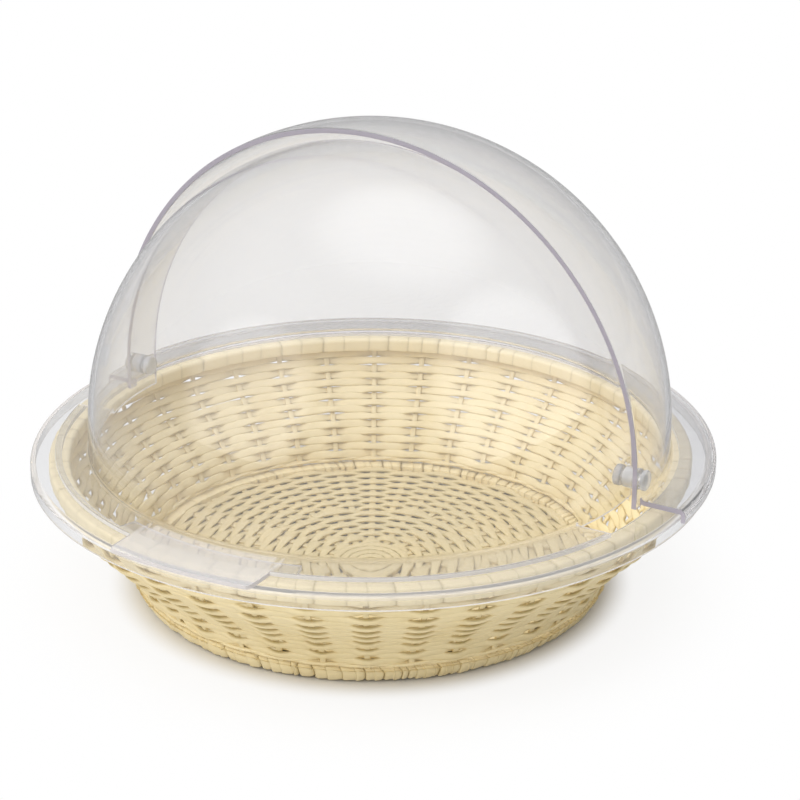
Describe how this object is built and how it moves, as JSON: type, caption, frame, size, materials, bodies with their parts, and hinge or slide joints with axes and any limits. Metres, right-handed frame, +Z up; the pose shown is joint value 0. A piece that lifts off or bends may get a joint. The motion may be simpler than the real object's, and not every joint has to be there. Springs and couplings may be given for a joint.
{
  "type": "countertop bread display bin",
  "caption": "Round woven bread basket with a clear roll-top cover whose front lid rolls back inside the fixed rear dome.",
  "frame": {"origin": "bottom centre of the basket, on the surface it stands on", "axes": "+Z up; the lid and its grip face -Y; the pivot line lies along X"},
  "size_m": [0.403, 0.403, 0.276],
  "materials": {
    "woven_strand": "cream poly-rattan strand, satin, slightly mottled",
    "rim_strand": "cream flat poly-rattan strand wound side by side",
    "steel_wire": "drawn steel wire",
    "clear_sheet": "clear polycarbonate, glossy, violet-grey at cut edges",
    "pivot_plastic": "translucent white moulded plastic"
  },
  "bodies": {
    "basket": {"basket_foot_border": "woven_strand", "basket_base_panel": "woven_strand", "basket_stakes": "woven_strand", "basket_weaver_01": "woven_strand", "basket_weaver_02": "woven_strand", "basket_weaver_03": "woven_strand", "basket_weaver_04": "woven_strand", "basket_weaver_05": "woven_strand", "basket_weaver_06": "woven_strand", "basket_weaver_07": "woven_strand", "basket_weaver_08": "woven_strand", "basket_weaver_09": "woven_strand", "basket_weaver_10": "woven_strand", "basket_weaver_11": "woven_strand", "basket_weaver_12": "woven_strand", "basket_weaver_13": "woven_strand", "basket_weaver_14": "woven_strand", "basket_weaver_15": "woven_strand", "basket_rim_hoop": "steel_wire", "basket_rim_wrap": "rim_strand"},
    "cover": {"cover_ring": "clear_sheet", "cover_rear_dome": "clear_sheet", "pivot_pin_right": "pivot_plastic", "pivot_spacer_right": "pivot_plastic", "pivot_cap_right": "pivot_plastic", "pivot_pin_left": "pivot_plastic", "pivot_spacer_left": "pivot_plastic", "pivot_cap_left": "pivot_plastic"},
    "lid": {"lid_shell": "clear_sheet"}
  },
  "joints": [
    {"name": "cover_lift", "type": "slide", "parent": "basket", "child": "cover", "axis": [0, 0, 1], "range_m": [0, 0.2]},
    {"name": "lid_roll", "type": "hinge", "parent": "cover", "child": "lid", "pos_m": [0, 0, 0.101], "axis": [-1, 0, 0], "range_deg": [0, 91.5]}
  ]
}
